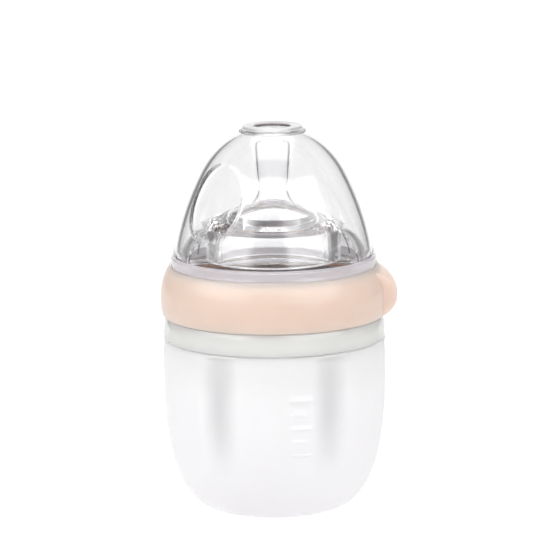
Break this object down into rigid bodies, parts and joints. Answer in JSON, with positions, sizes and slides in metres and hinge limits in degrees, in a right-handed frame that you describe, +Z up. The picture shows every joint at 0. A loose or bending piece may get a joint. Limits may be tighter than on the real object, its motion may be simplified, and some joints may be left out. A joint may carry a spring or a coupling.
{
  "type": "baby bottle",
  "caption": "Wide-neck silicone feeding bottle: soft fluted cup, threaded neck ring, screw collar with a thumb tab, clear teat and clear dome cap.",
  "frame": {"origin": "on the bottle's axis, on the plane that the foot stands on", "axes": "+Z up along the bottle's axis, +X through the thumb tab, -Y the front"},
  "size_m": [0.0842, 0.0804, 0.1366],
  "materials": {
    "milky_silicone": "soft milky translucent silicone",
    "translucent_ring": "hard glossy translucent plastic",
    "peach_collar": "satin peach plastic",
    "clear_silicone": "clear smooth silicone",
    "clear_cap": "clear polished plastic"
  },
  "bodies": {
    "cup": {"silicone_body": "milky_silicone"},
    "neck": {"neck_ring": "translucent_ring"},
    "teat": {"teat": "clear_silicone"},
    "collar": {"collar": "peach_collar"},
    "cap": {"cap": "clear_cap"}
  },
  "joints": [
    {"name": "ring_lift", "type": "slide", "parent": "cup", "child": "neck", "axis": [0, 0, 1], "range_m": [0, 0.1]},
    {"name": "teat_lift", "type": "slide", "parent": "neck", "child": "teat", "axis": [0, 0, 1], "range_m": [0, 0.0061]},
    {"name": "collar_turn", "type": "hinge", "parent": "teat", "child": "collar", "pos_m": [0, 0, 0.078], "axis": [0, 0, 1], "range_deg": [0, 540]},
    {"name": "cap_lift", "type": "slide", "parent": "collar", "child": "cap", "axis": [0, 0, 1], "range_m": [0, 0.06]}
  ],
  "couplings": [
    {"joint": "teat_lift", "follows": "collar_turn", "m_per_rad": 0.00063662}
  ]
}
